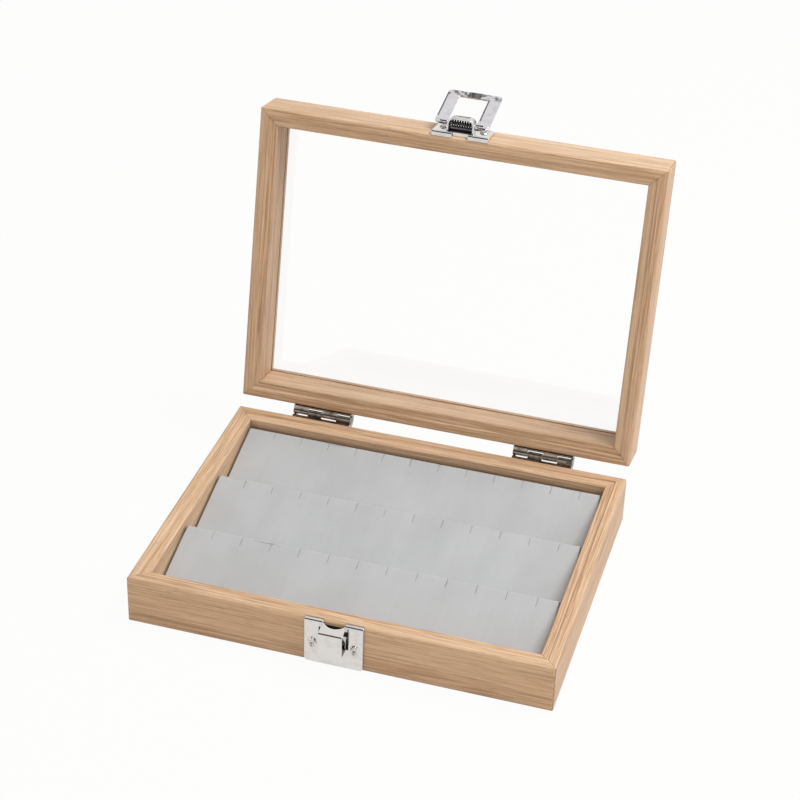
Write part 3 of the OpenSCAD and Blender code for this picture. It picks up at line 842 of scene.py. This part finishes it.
def dome_point(radius, angle, turned):
    """Height of a screw's head over its seat at a place, and how deep the recess is there."""
    swell = math.sin(math.pi / 2 * min(1.0, (dome_radius - radius) / dome_curve))
    height = dome_foot + (dome_height - dome_foot) * swell
    off_arm, along_arm = sorted((
        abs(radius * math.cos(angle + turned)), abs(radius * math.sin(angle + turned)),
    ))
    half = recess_half * (1 - recess_taper * along_arm / recess_reach)
    share = min(1.0, max(0.0, (half - off_arm) / recess_wall)) if along_arm < recess_reach else 0.0
    return height - recess_depth * share, share


def screw_rings(seat, tail, turned):
    """Rings of a screw from the middle of its head to its tip.

    Each is a radius, and for every point round it the height and the share of the recess there.
    """
    rings = []
    for ring in range(dome_rings + 1):
        radius = dome_radius * ring / dome_rings
        angles = [2 * math.pi * i / dome_points for i in range(dome_points)]
        places = [dome_point(radius, angle, turned) for angle in angles]
        rings.append((radius, [(seat + height, share) for height, share in places]))
    for radius, height in ((dome_radius, seat), (shank_radius, seat), (shank_radius, tail)):
        rings.append((radius, [(height, 0.0)] * dome_points))
    return rings


def domed_screws(node, outward, turned):
    """Screws with a domed head and a crossed recess in the places of a node's plain ones."""
    side = Vector((1, 0, 0))
    rise = outward.cross(side)
    work = bmesh.new()
    for points in solids_of(nodes[node].data):
        spans = [[p.dot(way) for p in points] for way in (side, rise, outward)]
        middle = side * (min(spans[0]) + max(spans[0])) / 2
        middle += rise * (min(spans[1]) + max(spans[1])) / 2
        grid = []
        for radius, places in screw_rings(max(spans[2]) - dome_seat, min(spans[2]), turned):
            row = []
            for i, (height, share) in enumerate(places):
                angle = 2 * math.pi * i / dome_points
                across = side * radius * math.cos(angle) + rise * radius * math.sin(angle)
                row.append((work.verts.new(middle + across + outward * height), share))
            grid.append(row)
        for row, next_row in zip(grid, grid[1:]):
            for i in range(dome_points):
                after = (i + 1) % dome_points
                corners = (row[i], next_row[i], next_row[after], row[after])
                face = work.faces.new([corner[0] for corner in corners])
                face.smooth = True
                face.material_index = int(sum(corner[1] for corner in corners) > recess_corners)
        work.faces.new([corner[0] for corner in grid[-1]])
    bmesh.ops.remove_doubles(work, verts=work.verts, dist=head_weld)
    bmesh.ops.recalc_face_normals(work, faces=work.faces)
    made = shown_mesh(work, "domed_" + node)
    made.data.set_sharp_from_angle(angle=shading_angle)
    made.data.materials.append(screw_steel)
    made.data.materials.append(recess_painted_shade)
    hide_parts(node)
    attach(made, nodes[node]["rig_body"])


chrome = plating(
    "chrome_plate", bright=(0.70, 0.675, 0.65, 1), dull=(0.63, 0.60, 0.575, 1),
    smoothest=0.06, roughest=0.14,
)
screw_steel = plating(
    "screw_steel", bright=(0.68, 0.655, 0.63, 1), dull=(0.58, 0.555, 0.53, 1),
    smoothest=0.08, roughest=0.18,
)
# Painted shade: a near-black copy of the plating for the deep faces of the screws' recesses.
recess_painted_shade = plating(
    "screw_recess_painted_shade", bright=(0.03, 0.028, 0.027, 1), dull=(0.015, 0.014, 0.013, 1),
    smoothest=0.45, roughest=0.6,
)

catch = eased("catch_plate", plate_edge)
coated(catch, chrome)
domed_screws("catch_screws", Vector((0, -1, 0)), catch_turn)

# Hinges
# Two small stop hinges of pressed steel with an antique nickel plating. Their leaves are screwed
# to the backs of base and lid, and the knuckles turn on a plain pin.
hinge_edge = 0.1 * mm
nickel = plating(
    "antique_nickel", bright=(0.36, 0.31, 0.26, 1), dull=(0.13, 0.10, 0.08, 1),
    smoothest=0.10, roughest=0.28,
)
for node in (
    "left_hinge_base_leaf", "right_hinge_base_leaf", "left_hinge_lid_leaf", "right_hinge_lid_leaf",
    "hinge_pins", "base_hinge_screws", "lid_hinge_screws",
):
    piece = eased(node, hinge_edge)
    coated(piece, nickel)

# Rails of the lid
# Mitred, papered and eased like the base's rails, with the same stepped rim, and a groove for
# the pane. Their grain leans back with the open lid.
lid_hinge = next(j for j in frame["joints"] if j["name"] == "lid_hinge")
lid_open = math.radians(lid_hinge["range_deg"][1])
lid_rails = {
    "lid_front_rail": (6.0, 0),
    "lid_right_rail": (7.0, -90),
    "lid_back_rail": (8.0, 0),
    "lid_left_rail": (9.0, -90),
}
for node, (cut, turned) in lid_rails.items():
    rail = eased(node, rail_edge)
    coated(rail, oak_paper("oak_" + node, cut, (lid_open, 0, math.radians(turned))))

# Pane
# A clear sheet of glass, slid into the groove of the lid's rails before the last one is glued on.
# It stays loose in the groove and lets the light through.


def clear_glass():
    """Polished clear glass."""
    made, tree = new_material("clear_glass")
    skinned(tree, {
        "Base Color": (1, 1, 1, 1), "Roughness": 0.0, "IOR": 1.45, "Transmission Weight": 1.0,
    })
    return made


coated(nodes["glass_pane"], clear_glass())
nodes["glass_pane"].visible_shadow = False

# Upper half of the hasp
# A stamped and chromed plate whose middle is bent up into an arched housing. The ring turns on
# an axle through the housing, and a coil spring on that axle snaps it up or down.
ring_edge = 0.28 * mm
ring_edge_rounds = 3
axle_edge = 0.1 * mm
axle_reach = 3.0 * mm
hub_length = 3.5 * mm
bar_width = 6.2 * mm
far_bar = 4.4 * mm
tab_length = 2.3 * mm
tab_half = 3.2 * mm
edge_shade_width = 0.85 * mm
# How dark each kind of darkened place is, and how much of that comes in patches. The strips along the
# bars' left edges are painted shade.
edge_shade = (0.9, 0.15)
far_bar_dark = (0.75, 1.0)
tab_dark = (0.9, 0.1)
housing_half = 6.0 * mm
housing_reach = 8.0 * mm
facing_in = 0.4 * mm
hasp_turn = 0.9
spring_turns = 8
spring_wire = 0.35 * mm
points_a_turn = 28
wire_rounds = 3

axle_low, axle_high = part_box("ring_axle")
axle_place = (axle_low + axle_high) / 2
ring_low, ring_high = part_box("hasp_ring")
ring_middle = (ring_low.x + ring_high.x) / 2
bars_start = axle_place.y + hub_length
bars_end = ring_high.y - tab_length - far_bar
right_bar = ring_high.x - bar_width
# Painted shade: a strip along the left edge of each bar is darkened for the shade on that side. The
# far bar and the tab are darker too, in patches.
darkened_places = (
    ((ring_low.x, bars_start, -far_out), (ring_low.x + edge_shade_width, bars_end, far_out), *edge_shade),
    ((right_bar, bars_start, -far_out), (right_bar + edge_shade_width, bars_end, far_out), *edge_shade),
    ((ring_low.x, bars_end, -far_out), (ring_high.x, ring_high.y, far_out), *far_bar_dark),
    (
        (ring_middle - tab_half, bars_end, -far_out),
        (ring_middle + tab_half, ring_high.y, far_out),
        *tab_dark,
    ),
)
ring_plate = plating(
    "ring_plate", bright=(0.68, 0.665, 0.68, 1), dull=(0.58, 0.57, 0.59, 1),
    smoothest=0.08, roughest=0.2, darkened=darkened_places,
)
# Painted shade: a near-black copy of the plating for the inside of the arched housing.
housing_shade = plating(
    "housing_painted_shade", bright=(0.045, 0.04, 0.052, 1), dull=(0.02, 0.018, 0.024, 1),
    smoothest=0.4, roughest=0.6,
)

hasp = eased("hasp_plate", plate_edge)
coated(hasp, chrome, housing_shade)
# The faces under the arch that face the axle get the painted shade.
for face in hasp.data.polygons:
    toward_axle = axle_place - face.center
    distance = math.hypot(toward_axle.y, toward_axle.z)
    under_arch = abs(toward_axle.x) < housing_half and distance < housing_reach
    if under_arch and face.normal.dot(toward_axle) > facing_in:
        face.material_index = 1

ring = eased("hasp_ring", ring_edge, ring_edge_rounds, fine=(axle_place, axle_reach, axle_edge))
coated(ring, ring_plate)

axle = eased("ring_axle", axle_edge)
coated(axle, chrome)

domed_screws("hasp_screws", Vector((0, -math.cos(lid_open), math.sin(lid_open))), hasp_turn)


def coil_spring(name, node):
    """A spring's wire as one winding along X, in the room of its node."""
    low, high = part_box(node)
    radius = (high.z - low.z) / 2 - spring_wire
    length = high.x - low.x - 2 * spring_wire
    curve = bpy.data.curves.new(name, "CURVE")
    curve.dimensions = "3D"
    curve.bevel_depth = spring_wire
    curve.bevel_resolution = wire_rounds
    curve.use_fill_caps = True
    steps = points_a_turn * spring_turns
    spline = curve.splines.new("POLY")
    spline.points.add(steps)
    for i, point in enumerate(spline.points):
        around = 2 * math.pi * spring_turns * i / steps
        point.co = (
            axle_place.x - length / 2 + length * i / steps,
            axle_place.y + radius * math.cos(around),
            axle_place.z + radius * math.sin(around),
            1,
        )
    return placed(name, curve)


spring = coil_spring("ring_coil_spring", "ring_spring")
# The wire is near-black: partly dark spring steel, partly painted shade inside the housing.
coated(spring, plating(
    "spring_steel", bright=(0.075, 0.07, 0.08, 1), dull=(0.03, 0.028, 0.034, 1),
    smoothest=0.3, roughest=0.5,
))
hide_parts("ring_spring")
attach(spring, "lid")
